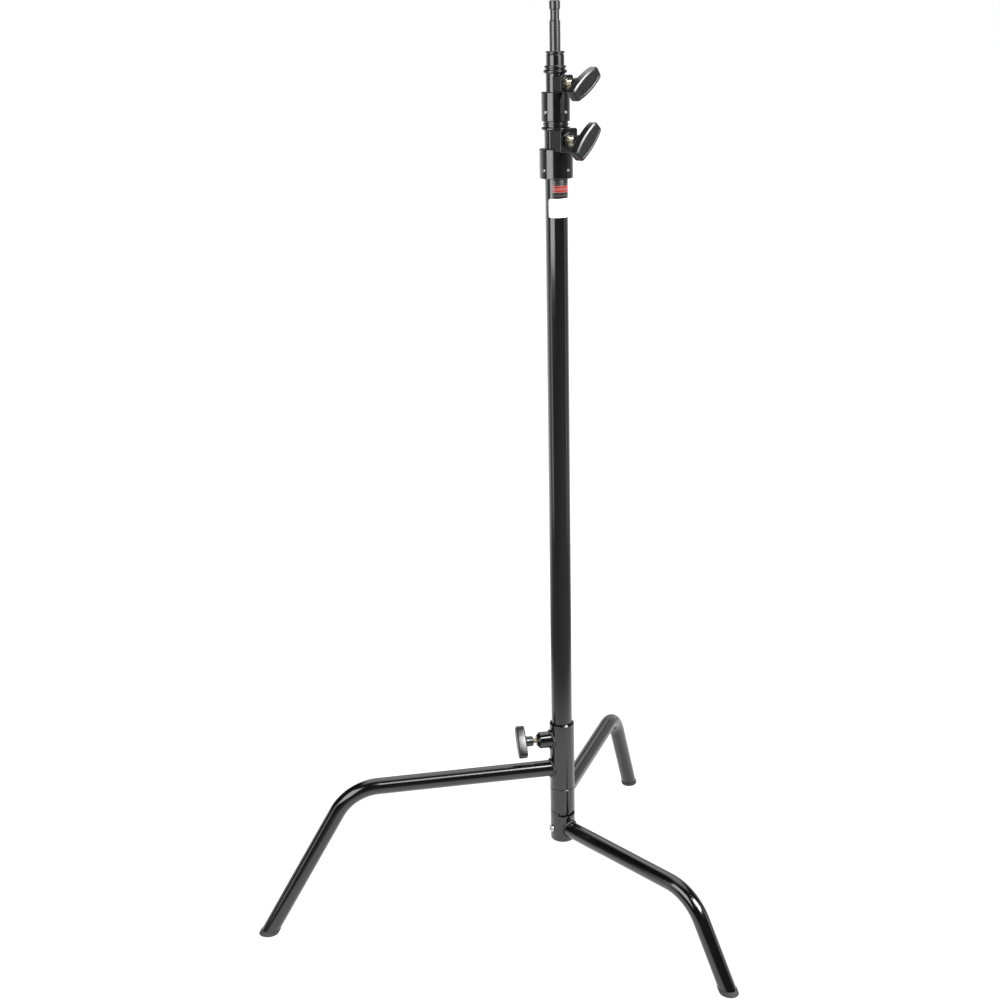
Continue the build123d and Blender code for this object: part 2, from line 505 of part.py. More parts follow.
def main():
    os.makedirs("parts", exist_ok=True)
    for name, azimuth, knee, z in LEGS:
        save(f"{name}_leg_tube", leg_tube(azimuth, knee, z))
        save(f"{name}_foot_cap", foot_cap(azimuth, knee, z))
    save("lower_leg_sleeve", lower_leg_sleeve())
    save("middle_leg_sleeve", middle_leg_sleeve())
    save("upper_leg_sleeve", upper_leg_sleeve())
    save("centre_post", centre_post())
    save("middle_retaining_screw",
         retaining_screw(MIDDLE_SCREW_AZ, MIDDLE_SCREW_Z, MIDDLE_SCREW_R))
    save("upper_retaining_screw", retaining_screw(UPPER_SCREW_AZ, UPPER_SCREW_Z, UPPER_SCREW_R))
    save("lower_fixing_screw", lower_fixing_screw())
    save("base_lock_boss", base_lock_boss())
    save("base_clamp_pad",
         clamp_pad(UPPER_LEG_AZ, HUB_BOSS_Z, BASE_PAD_R, COLUMN_R, HUB_PAD_BACK))
    save("base_knob", knob(UPPER_LEG_AZ, HUB_BOSS_Z, HUB_BOSS_FACE, BASE_KNOB_TURN, BASE_KNOB))
    save("base_knob_screw",
         knob_screw(UPPER_LEG_AZ, HUB_BOSS_Z, HUB_BOSS_FACE, HUB_PAD_BACK, BASE_KNOB))

    save("column_tube", column_tube())
    save("column_casting", column_casting())
    save("column_rivets", rivets(COLUMN_COLLAR_R, COLUMN_BORE_R, COLUMN_RIVET_Z))
    save("column_top_ring", ring(COLUMN_RING_R, RISER_1_R + RUNNING_GAP,
                                 COLUMN_NECK_TOP_Z + SEAT_GAP, COLUMN_NECK_TOP_Z + COLUMN_RING_H))
    save("column_lock_insert", lock_insert(COLUMN_BOSS_Z, COLUMN_BOSS_FACE, COLUMN_NECK_R))
    save("column_clamp_pad",
         clamp_pad(HEAD_AZ, COLUMN_BOSS_Z, HEAD_PAD_R, RISER_1_R, COLUMN_NECK_R))
    save("column_knob",
         knob(HEAD_AZ, COLUMN_BOSS_Z, COLUMN_BOSS_FACE, COLUMN_KNOB_TURN, HEAD_KNOB))
    save("column_knob_screw",
         knob_screw(HEAD_AZ, COLUMN_BOSS_Z, COLUMN_BOSS_FACE, COLUMN_NECK_R, HEAD_KNOB))
    save("column_band_label", label(BAND_Z, BAND_AZ))
    save("column_blank_label", label(BLANK_Z, BLANK_AZ))

    save("riser_1_guide_ring", guide_ring(COLUMN_BORE_R, RISER_1_BORE_R, COLUMN_TOP_Z))
    save("riser_1_tube", riser_1_tube())
    save("riser_1_stop_ring", riser_1_stop_ring())
    save("riser_1_casting", riser_1_casting())
    save("riser_1_rivets", rivets(RISER_1_COLLAR_R, RISER_1_BORE_R, RISER_1_RIVET_Z))
    save("riser_1_top_ring", ring(TOP_RING_R, RISER_2_R + RUNNING_GAP,
                                  RISER_1_NECK_TOP_Z + SEAT_GAP, RISER_1_NECK_TOP_Z + TOP_RING_H))
    save("riser_1_lock_insert", lock_insert(RISER_1_BOSS_Z, RISER_1_BOSS_FACE, RISER_1_NECK_R))
    save("riser_1_clamp_pad",
         clamp_pad(HEAD_AZ, RISER_1_BOSS_Z, HEAD_PAD_R, RISER_2_R, RISER_1_NECK_R))
    save("riser_1_knob",
         knob(HEAD_AZ, RISER_1_BOSS_Z, RISER_1_BOSS_FACE, RISER_1_KNOB_TURN, HEAD_KNOB))
    save("riser_1_knob_screw",
         knob_screw(HEAD_AZ, RISER_1_BOSS_Z, RISER_1_BOSS_FACE, RISER_1_NECK_R, HEAD_KNOB))

    save("riser_2_guide_ring", guide_ring(RISER_1_BORE_R, RISER_2_BORE_R, RISER_1_TUBE_TOP_Z))
    save("riser_2_tube", riser_2_tube())
    save("riser_2_top_collar", riser_2_top_collar())
    save("baby_pin", baby_pin())


main()
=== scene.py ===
import json
import math

import bpy
from mathutils import Matrix, Vector


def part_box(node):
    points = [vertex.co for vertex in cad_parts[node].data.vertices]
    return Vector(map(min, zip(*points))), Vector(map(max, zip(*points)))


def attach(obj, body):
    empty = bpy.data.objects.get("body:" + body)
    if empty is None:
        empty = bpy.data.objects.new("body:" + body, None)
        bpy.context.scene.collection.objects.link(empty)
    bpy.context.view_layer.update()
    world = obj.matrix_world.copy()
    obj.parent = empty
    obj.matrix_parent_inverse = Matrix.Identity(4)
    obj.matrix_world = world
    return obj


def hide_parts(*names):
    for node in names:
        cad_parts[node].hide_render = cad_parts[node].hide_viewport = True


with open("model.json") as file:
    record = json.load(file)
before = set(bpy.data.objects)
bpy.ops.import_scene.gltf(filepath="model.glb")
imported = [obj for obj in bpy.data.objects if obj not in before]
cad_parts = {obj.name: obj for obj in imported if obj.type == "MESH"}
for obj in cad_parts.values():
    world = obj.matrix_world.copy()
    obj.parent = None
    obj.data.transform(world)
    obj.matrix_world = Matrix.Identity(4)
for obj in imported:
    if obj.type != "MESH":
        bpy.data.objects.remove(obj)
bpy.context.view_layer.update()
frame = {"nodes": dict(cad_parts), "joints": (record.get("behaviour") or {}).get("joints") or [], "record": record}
nodes = frame["nodes"]
joints = {joint["name"]: joint for joint in frame["joints"]}

MM = 0.001
UP = Vector((0, 0, 1))

# ---------------------------------------------------------------- sizes
# T-knobs and the pitch of their screws, in millimetres
HEAD_KNOB = dict(thick=14.0, length=60.0, width=25.2, end=17.6, neck_r=8.8, root_r=10.0,
                 pitch=1.75)
BASE_KNOB = dict(thick=14.6, length=53.0, width=20.0, end=14.0, neck_r=8.2, root_r=9.0,
                 pitch=1.25)
KNOB_CORNER = 4.2
NECK_BEVEL = 2.6
# each lock, its knob and the knob's turn from upright, in degrees
KNOBS = (("column", HEAD_KNOB, -43.0), ("riser_1", HEAD_KNOB, -55.0), ("base", BASE_KNOB, 40.0))

# in metres
INSERT_RIM = 1.5 * MM
WELD_R = 2.4 * MM
WELD_RIPPLES = 34
BLANK_LABEL_CORNER = 3.0 * MM
BAND_LABEL_CORNER = 1.0 * MM

# the printed label, as parts of its height
RED_BAND = (0.30, 0.66)
PALE_RULES = ((0.29, 0.32), (0.64, 0.67))
DIM_ROWS = ((0.10, 0.16), (0.74, 0.79), (0.86, 0.92))
BLOCK_ROW = (0.42, 0.54)
BLOCKS_PER_RADIAN = 9.0
BLOCK_WIDTH = 0.62

# light: radiance of the floor close to the stand, as the object reflects it, then soft boxes
FLOOR_GLOW = 1.35
# name, degrees from the camera's side, distance, height, width, tall, radiance
LEVEL_BOXES = (("left_box", -45.0, 1.75, 1.53, 1.45, 1.46, 7.0),
               ("left_low_box", -70.0, 1.70, 0.46, 0.50, 0.68, 1.9),
               ("right_box", 58.0, 1.70, 1.70, 1.10, 0.80, 7.0),
               ("right_strip", 88.0, 1.60, 0.60, 0.20, 0.95, 1.8))
# name, degrees from the camera's side, distance, height, height aimed at, width, tall, radiance
HIGH_BOXES = (("front_box", 26.0, 3.3, 4.5, 0.7, 1.7, 1.5, 9.0),
              ("edge_box", 52.0, 4.0, 4.7, 1.0, 2.7, 2.4, 30.0))

# camera: metres, degrees and focal length as a part of the picture's width
CAMERA_DISTANCE = 2.355
CAMERA_HEIGHT = 1.437
CAMERA_AZIMUTH = -12.666
CAMERA_PAN = -2.276
CAMERA_PITCH = 17.155
CAMERA_ROLL = -1.248
CAMERA_FOCAL = 1.5682
SENSOR = 36.0


# ---------------------------------------------------------------- node helpers
def add(tree, kind, settings=None, **inputs):
    """A new shader node. Underscores in an input's name stand for spaces."""
    made = tree.nodes.new(kind)
    for key, value in (settings or {}).items():
        setattr(made, key, value)
    for key, value in inputs.items():
        put(tree, made.inputs[key.replace("_", " ")], value)
    return made


def put(tree, socket, value):
    """Links a socket into another, or sets its value."""
    if isinstance(value, bpy.types.NodeSocket):
        tree.links.new(value, socket)
    else:
        socket.default_value = value


def math_node(tree, operation, first, second=0.0, clamp=False):
    made = tree.nodes.new("ShaderNodeMath")
    made.operation = operation
    made.use_clamp = clamp
    put(tree, made.inputs[0], first)
    put(tree, made.inputs[1], second)
    return made.outputs[0]


def mix_colour(tree, factor, first, second):
    """The first colour where the factor is 0, the second where it is 1."""
    made = tree.nodes.new("ShaderNodeMix")
    made.data_type = "RGBA"
    put(tree, made.inputs["Factor"], factor)
    put(tree, made.inputs["A"], first)
    put(tree, made.inputs["B"], second)
    return made.outputs["Result"]


def remap(tree, value, low, high, to_low=0.0, to_high=1.0):
    """Maps low..high to to_low..to_high and holds the ends."""
    made = add(tree, "ShaderNodeMapRange", {"clamp": True}, Value=value)
    made.inputs["From Min"].default_value = low
    made.inputs["From Max"].default_value = high
    made.inputs["To Min"].default_value = to_low
    made.inputs["To Max"].default_value = to_high
    return made.outputs["Result"]


def grey(value, tint=1.0):
    return (value, value, value * tint, 1.0)


def new_material(name):
    """A material, its node tree, its shader and its texture coordinates in metres."""
    material = bpy.data.materials.new(name)
    material.use_nodes = True
    tree = material.node_tree
    shader = tree.nodes["Principled BSDF"]
    place = tree.nodes.new("ShaderNodeTexCoord").outputs["Object"]
    return material, tree, shader, place


def stretched(tree, place, scale):
    """Texture coordinates scaled by a different amount along each axis."""
    made = add(tree, "ShaderNodeMapping", Vector=place)
    made.inputs["Scale"].default_value = scale
    return made.outputs["Vector"]


def noise(tree, place, scale, detail=3.0, rough=0.55):
    made = add(tree, "ShaderNodeTexNoise", Vector=place, Scale=scale, Detail=detail,
               Roughness=rough)
    return made.outputs["Fac"]


def bump(tree, height, distance, strength=1.0, normal=None):
    made = add(tree, "ShaderNodeBump", Height=height, Distance=distance, Strength=strength)
    if normal is not None:
        tree.links.new(normal, made.inputs["Normal"])
    return made.outputs["Normal"]


def dot_with(tree, vector, direction):
    made = tree.nodes.new("ShaderNodeVectorMath")
    made.operation = "DOT_PRODUCT"
    tree.links.new(vector, made.inputs[0])
    made.inputs[1].default_value = direction
    return made.outputs["Value"]


def rounded_normal(tree, radius):
    return add(tree, "ShaderNodeBevel", {"samples": 6}, Radius=radius).outputs["Normal"]


def edge_mask(tree, rounded):
    """1 along sharp edges, 0 on open faces."""
    geometry = tree.nodes.new("ShaderNodeNewGeometry").outputs["Normal"]
    made = tree.nodes.new("ShaderNodeVectorMath")
    made.operation = "DOT_PRODUCT"
    tree.links.new(rounded, made.inputs[0])
    tree.links.new(geometry, made.inputs[1])
    return remap(tree, made.outputs["Value"], 0.995, 0.93)


# ---------------------------------------------------------------- materials
def black_enamel(name, base, roughness, peel, wear, edge_radius=0.0006):
    """Black paint on steel: a slight orange peel, rubbed streaks, and edges lightened partly as worn paint and
    partly as a painted highlight.
    """
    material, tree, shader, place = new_material(name)
    rounded = rounded_normal(tree, edge_radius)
    cloud = noise(tree, place, 55.0)
    streaks = remap(tree, noise(tree, stretched(tree, place, (900, 900, 35)), 1.0, 4.0, 0.7),
                    0.60, 0.78)
    specks = remap(tree, noise(tree, place, 900.0, 2.0), 0.70, 0.80)
    # edges lightened to grey: partly worn paint, partly a painted highlight along the edges
    worn_edge_and_highlight = math_node(tree, "MULTIPLY", edge_mask(tree, rounded),
                     remap(tree, noise(tree, place, 260.0, 4.0, 0.7), 0.42, 0.66))
    worn_edge_and_highlight = math_node(tree, "MULTIPLY", worn_edge_and_highlight, wear)
    colour = mix_colour(tree, cloud, grey(base * 0.7, 1.03), grey(base * 1.35, 1.05))
    colour = mix_colour(tree, math_node(tree, "MULTIPLY", streaks, 0.35), colour, grey(0.008))
    colour = mix_colour(tree, math_node(tree, "MULTIPLY", specks, 0.25), colour, grey(0.016))
    colour = mix_colour(tree, worn_edge_and_highlight, colour, grey(0.12, 0.97))
    put(tree, shader.inputs["Base Color"], colour)
    gloss = remap(tree, cloud, 0.3, 0.7, roughness * 0.85, roughness * 1.15)
    gloss = math_node(tree, "ADD", gloss, math_node(tree, "MULTIPLY", streaks, 0.05))
    put(tree, shader.inputs["Roughness"], gloss)
    put(tree, shader.inputs["Metallic"], math_node(tree, "MULTIPLY", worn_edge_and_highlight, 0.8))
    shader.inputs["Specular IOR Level"].default_value = 0.6
    skin = bump(tree, noise(tree, place, 420.0, 1.0), 0.00008, peel, rounded)
    put(tree, shader.inputs["Normal"], skin)
    return material


def dark_stud():
    """The stud: blackened turned steel, bright where lamp heads have rubbed it."""
    material, tree, shader, place = new_material("dark_stud")
    rounded = rounded_normal(tree, 0.0002)
    turning = noise(tree, stretched(tree, place, (25, 25, 1500)), 1.0, 3.0, 0.6)
    rub = remap(tree, noise(tree, stretched(tree, place, (160, 160, 60)), 1.0, 4.0, 0.65),
                0.55, 0.80)
    colour = mix_colour(tree, turning, grey(0.046, 1.04), grey(0.054, 1.03))
    colour = mix_colour(tree, math_node(tree, "MULTIPLY", rub, 0.08), colour, grey(0.12))
    colour = mix_colour(tree, math_node(tree, "MULTIPLY", edge_mask(tree, rounded), 0.6),
                        colour, grey(0.34))
    put(tree, shader.inputs["Base Color"], colour)
    shader.inputs["Metallic"].default_value = 0.75
    put(tree, shader.inputs["Roughness"], remap(tree, turning, 0.2, 0.8, 0.19, 0.22))
    put(tree, shader.inputs["Normal"], bump(tree, turning, 0.00001, 0.05, rounded))
    return material


def plated(name, dark, light, roughness, grain):
    """Bright metal, plated or bare, with faint clouding between two colours."""
    material, tree, shader, place = new_material(name)
    rounded = rounded_normal(tree, 0.0003)
    cloud = noise(tree, place, grain, 4.0, 0.6)
    fine = noise(tree, place, grain * 7, 2.0)
    put(tree, shader.inputs["Base Color"], mix_colour(tree, cloud, dark, light))
    shader.inputs["Metallic"].default_value = 1.0
    put(tree, shader.inputs["Roughness"],
        remap(tree, cloud, 0.3, 0.7, roughness * 0.75, roughness * 1.3))
    put(tree, shader.inputs["Normal"], bump(tree, fine, 0.00003, 0.6, rounded))
    return material


def moulded_plastic():
    """The knobs: black nylon with a spark-eroded grain and edges lightened as a painted highlight."""
    material, tree, shader, place = new_material("moulded_plastic")
    rounded = rounded_normal(tree, 0.0003)
    grain = noise(tree, place, 1900.0, 2.0, 0.6)
    cloud = noise(tree, place, 130.0)
    colour = mix_colour(tree, cloud, grey(0.005, 1.02), grey(0.010, 1.02))
    # painted highlight: the edges are lightened to draw a bright line along the knob's rim
    colour = mix_colour(tree, math_node(tree, "MULTIPLY", edge_mask(tree, rounded), 0.5),
                        colour, grey(0.05))
    put(tree, shader.inputs["Base Color"], colour)
    put(tree, shader.inputs["Roughness"], remap(tree, cloud, 0.3, 0.7, 0.22, 0.30))
    put(tree, shader.inputs["Normal"], bump(tree, grain, 0.00004, 0.2, rounded))
    return material


def guide_nylon():
    """The guide rings: cream nylon."""
    material, tree, shader, place = new_material("guide_nylon")
    cloud = noise(tree, place, 160.0)
    put(tree, shader.inputs["Base Color"],
        mix_colour(tree, cloud, (0.60, 0.58, 0.50, 1), (0.72, 0.70, 0.62, 1)))
    put(tree, shader.inputs["Roughness"], remap(tree, cloud, 0.3, 0.7, 0.40, 0.55))
    shader.inputs["Subsurface Weight"].default_value = 0.1
    put(tree, shader.inputs["Normal"], bump(tree, noise(tree, place, 1500.0), 0.00006, 0.4))
    return material


def foot_rubber():
    """The foot caps: scuffed, gritty black rubber."""
    material, tree, shader, place = new_material("foot_rubber")
    rounded = rounded_normal(tree, 0.0008)
    cloud = noise(tree, place, 220.0, 5.0, 0.65)
    grit = remap(tree, noise(tree, place, 1300.0, 2.0), 0.62, 0.78)
    colour = mix_colour(tree, cloud, grey(0.012), grey(0.030))
    colour = mix_colour(tree, math_node(tree, "MULTIPLY", grit, 0.4), colour, grey(0.12, 0.9))
    put(tree, shader.inputs["Base Color"], colour)
    put(tree, shader.inputs["Roughness"], remap(tree, cloud, 0.3, 0.7, 0.62, 0.85))
    put(tree, shader.inputs["Normal"], bump(tree, cloud, 0.0003, 0.5, rounded))
    return material


def rimmed_insert(name, axis, far):
    """A black hexagonal insert whose turned rim is bare yellow zinc."""
    material = black_enamel(name, base=0.004, roughness=0.24, peel=0.3, wear=0.7,
                            edge_radius=0.0004)
    tree = material.node_tree
    shader = tree.nodes["Principled BSDF"]
    place = tree.nodes.new("ShaderNodeTexCoord").outputs["Object"]
    on_rim = math_node(tree, "GREATER_THAN", dot_with(tree, place, axis), far - INSERT_RIM)
    painted = shader.inputs["Base Color"].links[0].from_socket
    put(tree, shader.inputs["Base Color"],
        mix_colour(tree, on_rim, painted, (0.34, 0.33, 0.24, 1)))
    worn_edge_and_highlight = shader.inputs["Metallic"].links[0].from_socket
    put(tree, shader.inputs["Metallic"], math_node(tree, "MAXIMUM", worn_edge_and_highlight, on_rim))
    return material


def weld_paint():
    """Painted-over weld: the column's black, a little rougher."""
    return black_enamel("weld_paint", base=0.003, roughness=0.22, peel=0.4, wear=0.25,
                        edge_radius=0.0004)


def paper_label():
    """The blank sticker: white paper with a few smudges."""
    material, tree, shader, place = new_material("paper_label")
    fibre = noise(tree, stretched(tree, place, (1400, 1400, 500)), 1.0, 4.0, 0.6)
    smudge = remap(tree, noise(tree, place, 90.0, 4.0), 0.52, 0.80)
    colour = mix_colour(tree, fibre, (0.90, 0.90, 0.89, 1), (0.98, 0.98, 0.97, 1))
    colour = mix_colour(tree, math_node(tree, "MULTIPLY", smudge, 0.10), colour,
                        (0.70, 0.69, 0.66, 1))
    put(tree, shader.inputs["Base Color"], colour)
    shader.inputs["Roughness"].default_value = 0.45
    put(tree, shader.inputs["Normal"], bump(tree, fibre, 0.00004, 0.4))
    return material


def band_label(low, high):
    """A printed film: black bands above and below a red one, split by pale rules.

    The bands are even stripes and blocks with no lettering.
    """
    material, tree, shader, place = new_material("band_label")
    split = tree.nodes.new("ShaderNodeSeparateXYZ")
    tree.links.new(place, split.inputs[0])
    height = remap(tree, split.outputs["Z"], low, high)
    around = math_node(tree, "ARCTAN2", split.outputs["Y"], split.outputs["X"])
    blocks = math_node(tree, "FRACT", math_node(tree, "MULTIPLY", around, BLOCKS_PER_RADIAN))
    in_block = math_node(tree, "LESS_THAN", blocks, BLOCK_WIDTH)

    def between(bottom, top):
        above = math_node(tree, "GREATER_THAN", height, bottom)
        return math_node(tree, "MULTIPLY", above, math_node(tree, "LESS_THAN", height, top))

    wear = remap(tree, noise(tree, place, 420.0, 4.0, 0.7), 0.30, 0.62)
    red = mix_colour(tree, wear, (0.17, 0.008, 0.008, 1), (0.30, 0.014, 0.012, 1))
    colour = mix_colour(tree, between(*RED_BAND), grey(0.006), red)
    pale = mix_colour(tree, wear, (0.12, 0.11, 0.10, 1), (0.26, 0.25, 0.23, 1))
    rules = math_node(tree, "ADD", between(*PALE_RULES[0]), between(*PALE_RULES[1]))
    colour = mix_colour(tree, math_node(tree, "MULTIPLY", rules, 0.7), colour, pale)
    for bottom_and_top in DIM_ROWS:
        row = math_node(tree, "MULTIPLY", between(*bottom_and_top), in_block)
        colour = mix_colour(tree, math_node(tree, "MULTIPLY", row, 0.4), colour, pale)
    block_row = math_node(tree, "MULTIPLY", between(*BLOCK_ROW), in_block)
    colour = mix_colour(tree, math_node(tree, "MULTIPLY", block_row, 0.6), colour, pale)
    put(tree, shader.inputs["Base Color"], colour)
    shader.inputs["Roughness"].default_value = 0.30
    put(tree, shader.inputs["Normal"], bump(tree, noise(tree, place, 700.0), 0.00005, 0.3))
    return material


def backdrop_glow(tree, direction):
    """The level surroundings: pale behind the object and to its left, dark in front."""
    behind = dot_with(tree, direction, -toward_camera())
    right = dot_with(tree, direction, camera_right())
    glow = remap(tree, behind, -0.2, 0.6, 0.10, 1.6)
    glow = math_node(tree, "MULTIPLY", glow, remap(tree, behind, 0.93, 0.985, 1.0, 0.35))
    return math_node(tree, "MULTIPLY", glow, remap(tree, right, -0.7, 0.7, 1.2, 0.4))


def pale_floor():
    """White to the camera. In reflections: bright near the stand, dim, then the backdrop."""
    material, tree, shader, place = new_material("pale_floor")
    cloud = noise(tree, place, 1.2, 3.0)
    put(tree, shader.inputs["Base Color"], mix_colour(tree, cloud, grey(0.08), grey(0.11)))
    shader.inputs["Roughness"].default_value = 0.75
    away = tree.nodes.new("ShaderNodeVectorMath")
    away.operation = "LENGTH"
    tree.links.new(place, away.inputs[0])
    distance = away.outputs["Value"]
    normalised = tree.nodes.new("ShaderNodeVectorMath")
    normalised.operation = "NORMALIZE"
    tree.links.new(place, normalised.inputs[0])
    direction = normalised.outputs["Vector"]
    front = math_node(tree, "MULTIPLY", dot_with(tree, place, toward_camera()), 0.22)
    aside = math_node(tree, "ABSOLUTE", dot_with(tree, place, camera_right()))
    reach_out = math_node(tree, "ADD", math_node(tree, "ADD", distance, front),
                          math_node(tree, "MULTIPLY", aside, 0.10))
    near = remap(tree, reach_out, 0.80, 1.15, FLOOR_GLOW, 0.10)
    near = math_node(tree, "MULTIPLY", near,
                     remap(tree, dot_with(tree, direction, -toward_camera()), 0.70, 0.93, 1.0, 0.5))
    far = math_node(tree, "MULTIPLY", backdrop_glow(tree, direction),
                    remap(tree, distance, 1.0, 2.3))
    seen = tree.nodes.new("ShaderNodeLightPath").outputs["Is Camera Ray"]
    white = math_node(tree, "MULTIPLY", seen, remap(tree, distance, 0.7, 1.1, 0.96, 1.0))
    glow = math_node(tree, "MULTIPLY", math_node(tree, "MAXIMUM", near, far),
                     math_node(tree, "SUBTRACT", 1.0, seen))
    shader.inputs["Emission Color"].default_value = grey(1.0)
    put(tree, shader.inputs["Emission Strength"], math_node(tree, "ADD", glow, white))
    return material


# ---------------------------------------------------------------- mesh helpers
def make_object(name, points, faces, material, smooth_angle=35.0):
    """A mesh object in the scene, smooth up to an angle between its faces."""
    mesh = bpy.data.meshes.new(name)
    mesh.from_pydata([tuple(point) for point in points], [], faces)
    mesh.update()
    mesh.materials.append(material)
    made = bpy.data.objects.new(name, mesh)
    bpy.context.scene.collection.objects.link(made)
    smooth(made, smooth_angle)
    return made


def smooth(made, angle):
    """Smooth shading, with edges sharper than the angle kept."""
    mesh = made.data
    for polygon in mesh.polygons:
        polygon.use_smooth = True
    mesh.set_sharp_from_angle(angle=math.radians(angle))


def skin_rings(rings, closed=False):
    """Faces between rings of points that all have the same count."""
    count = len(rings[0])
    points = [point for ring in rings for point in ring]
    faces = []
    last = len(rings) if closed else len(rings) - 1
    for row in range(last):
        here = row * count
        there = ((row + 1) % len(rings)) * count
        for step in range(count):
            after = (step + 1) % count
            faces.append((here + step, here + after, there + after, there + step))
    return points, faces


def capped(points, faces, count):
    """Closes the first and last ring with one face each."""
    total = len(points)
    faces.append(tuple(reversed(range(count))))
    faces.append(tuple(range(total - count, total)))
    return points, faces


def merge(*shapes):
    """Joins (points, faces) pairs into one."""
    points, faces = [], []
    for more_points, more_faces in shapes:
        start = len(points)
        points += more_points
        faces += [tuple(index + start for index in face) for face in more_faces]
    return points, faces


def moved(points, matrix):
    """The points after a change of place."""
    return [matrix @ Vector(point) for point in points]


def outward_matrix(point, axis, turn=0.0):
    """Local +X along the axis and local +Z up, turned about the axis."""
    outward = Vector(axis).normalized()
    side = UP.cross(outward)
    basis = Matrix((outward, side, UP)).transposed().to_4x4()
    return Matrix.Translation(point) @ basis @ Matrix.Rotation(math.radians(turn), 4, "X")


def reach(node, axis):
    """How far a CAD node begins and ends along an axis through the origin."""
    spots = [vertex.co.dot(axis) for vertex in nodes[node].data.vertices]
    return min(spots), max(spots)


def lathe_x(profile, segments=48):
    """A closed solid turned about local +X from (x, radius) pairs."""
    rings = []
    for x, radius in profile:
        rings.append([Vector((x, radius * math.cos(angle), radius * math.sin(angle)))
                      for angle in (math.tau * step / segments for step in range(segments))])
    points, faces = skin_rings(rings)
    return capped(points, faces, segments)


# ---------------------------------------------------------------- knobs and screws
def bar_ring(x, inset, length, width, end, corner, samples=22):
    """One outline of a knob's bar, at depth x and drawn in by an inset."""
    half = length / 2 - inset
    middle = width / 2 - inset
    tip = end / 2 - inset
    corner = max(corner - inset, 0.3 * MM)
    side = []
    for step in range(samples + 1):
        z = -half * math.cos(math.pi * step / samples)
        across = middle - (middle - tip) * (z / half) ** 2
        beyond = abs(z) - (half - corner)
        if beyond > 0:
            across -= corner - math.sqrt(max(corner ** 2 - beyond ** 2, 0.0))
        side.append((across, z))
    right = [Vector((x, across, z)) for across, z in side]
    left = [Vector((x, -across, z)) for across, z in reversed(side)]
    return right + left


def knob_bar(near, size):
    """The bar: soft back edges, a flat chamfer round its face and a shallow panel in it."""
    corner = KNOB_CORNER * MM
    far = near + size["thick"] * MM
    # (depth from the back face, or from the front face where negative; inset), millimetres
    layers = [(0.0, 3.4), (0.15, 2.3), (0.5, 1.3), (1.2, 0.5), (2.2, 0.1), (3.2, 0.0),
              (-2.6, 0.0), (-1.7, 0.04), (-1.36, 0.16), (-1.24, 0.36), (-0.24, 2.02),
              (-0.12, 2.22), (-0.02, 2.5), (-0.001, 3.2), (-0.05, 3.6), (-0.35, 3.9),
              (-0.42, 4.2), (-0.45, 4.8)]
    rings = []
    for depth, inset in layers:
        x = near + depth * MM if depth >= 0 else far + depth * MM
        rings.append(bar_ring(x, inset * MM, size["length"] * MM, size["width"] * MM,
                              size["end"] * MM, corner))
    points, faces = skin_rings(rings)
    return capped(points, faces, len(rings[0]))


def knob_neck(start, root, size):
    """The stubby hub between the screw and the bar, flared into the bar."""
    small, large = size["neck_r"] * MM, size["root_r"] * MM
    bevel = NECK_BEVEL * MM
    profile = [(start, small - bevel), (start + 0.15 * MM, small - bevel * 0.75)]
    for step in range(1, 6):
        turn = math.pi / 2 * step / 5
        profile.append((start + bevel * (1 - math.cos(turn)) * 0.9 + 0.15 * MM,
                        small - bevel * 0.75 * (1 - math.sin(turn))))
    begin = profile[-1][0]
    for step in range(1, 9):
        part = step / 8
        x = begin + (root - begin) * part
        profile.append((x, small + (large - small) * part ** 3))
    profile.append((root + 1.5 * MM, large + 0.6 * MM))
    return lathe_x(profile)


def knob(lock, size, turn, material):
    """A T-knob in the place of its CAD node, on the axis of its joint."""
    joint = joints[f"{lock}_lock_turn"]
    axis = Vector(joint["axis"])
    near, far = reach(f"{lock}_knob", axis)
    matrix = outward_matrix(Vector((0, 0, joint["pos_m"][2])), axis, turn)
    back = far - size["thick"] * MM
    shape = merge(knob_bar(back, size), knob_neck(near, back, size))
    made = make_object(f"moulded_{lock}_knob", moved(shape[0], matrix), shape[1], material, 50.0)
    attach(made, joint["child"])
    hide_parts(f"{lock}_knob")
    return made


def thread(near, far, radius, pitch, lead_in=1.2 * MM, around=40, per_turn=8):
    """A right-hand screw thread along local +X with a coned-off tip."""
    deep = 0.5 * pitch
    rings = []
    rows = int((far - near) / pitch * per_turn)
    for row in range(rows + 1):
        x = near + (far - near) * row / rows
        taper = min((x - near) / lead_in, 1.0) * 0.18 + 0.82
        ring = []
        for step in range(around):
            part = step / around
            phase = (x / pitch - part) % 1.0
            crest = abs(2 * phase - 1)
            depth = deep * min(max(1.25 * crest - 0.1, 0.0), 1.0)
            here = (radius - depth) * taper
            ring.append(Vector((x, here * math.cos(math.tau * part),
                                here * math.sin(math.tau * part))))
        rings.append(ring)
    points, faces = skin_rings(rings)
    return capped(points, faces, around)


def lock_screw(lock, size, material):
    """A threaded screw in the place of its CAD node."""
    joint = joints[f"{lock}_lock_turn"]
    node = f"{lock}_knob_screw"
    axis = Vector(joint["axis"])
    near, far = reach(node, axis)
    low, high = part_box(node)
    radius = (high.z - low.z) / 2
    matrix = outward_matrix(Vector((0, 0, joint["pos_m"][2])), axis)
    points, faces = thread(near, far, radius, size["pitch"] * MM)
    made = make_object(f"threaded_{node}", moved(points, matrix), faces, material, 60.0)
    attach(made, joint["child"])
    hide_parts(node)
    return made


